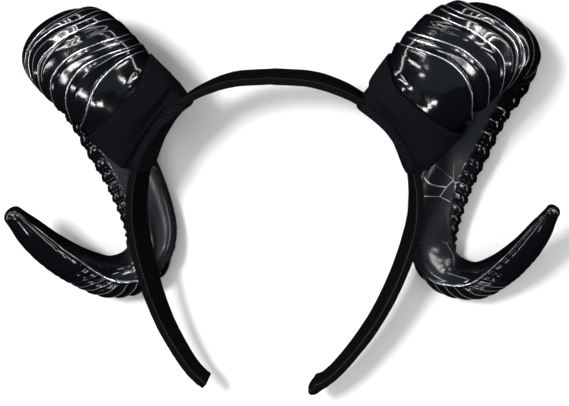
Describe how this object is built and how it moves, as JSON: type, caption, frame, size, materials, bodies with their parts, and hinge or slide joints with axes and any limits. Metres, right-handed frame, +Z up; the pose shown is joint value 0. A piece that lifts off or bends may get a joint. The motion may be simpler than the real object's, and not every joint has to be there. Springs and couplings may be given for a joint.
{
  "type": "ram horns headband",
  "caption": "Fabric-covered headband with ribbed, curled ram horns, each held to the band by a fabric sleeve.",
  "frame": {"origin": "under the middle of the box of the whole, on the surface it lies on", "axes": "+X across the headband from one horn to the other, +Y towards the crown of the band, +Z up from the surface, through the open side of the head space"},
  "size_m": [0.2526, 0.1832, 0.0655],
  "materials": {
    "band_fabric": "satin weave",
    "horn": "high gloss",
    "sleeve_fabric": "matte twill"
  },
  "bodies": {
    "root": {"headband": "band_fabric", "horn_left": "horn", "horn_right": "horn", "sleeve_left": "sleeve_fabric", "sleeve_right": "sleeve_fabric"}
  },
  "joints": []
}
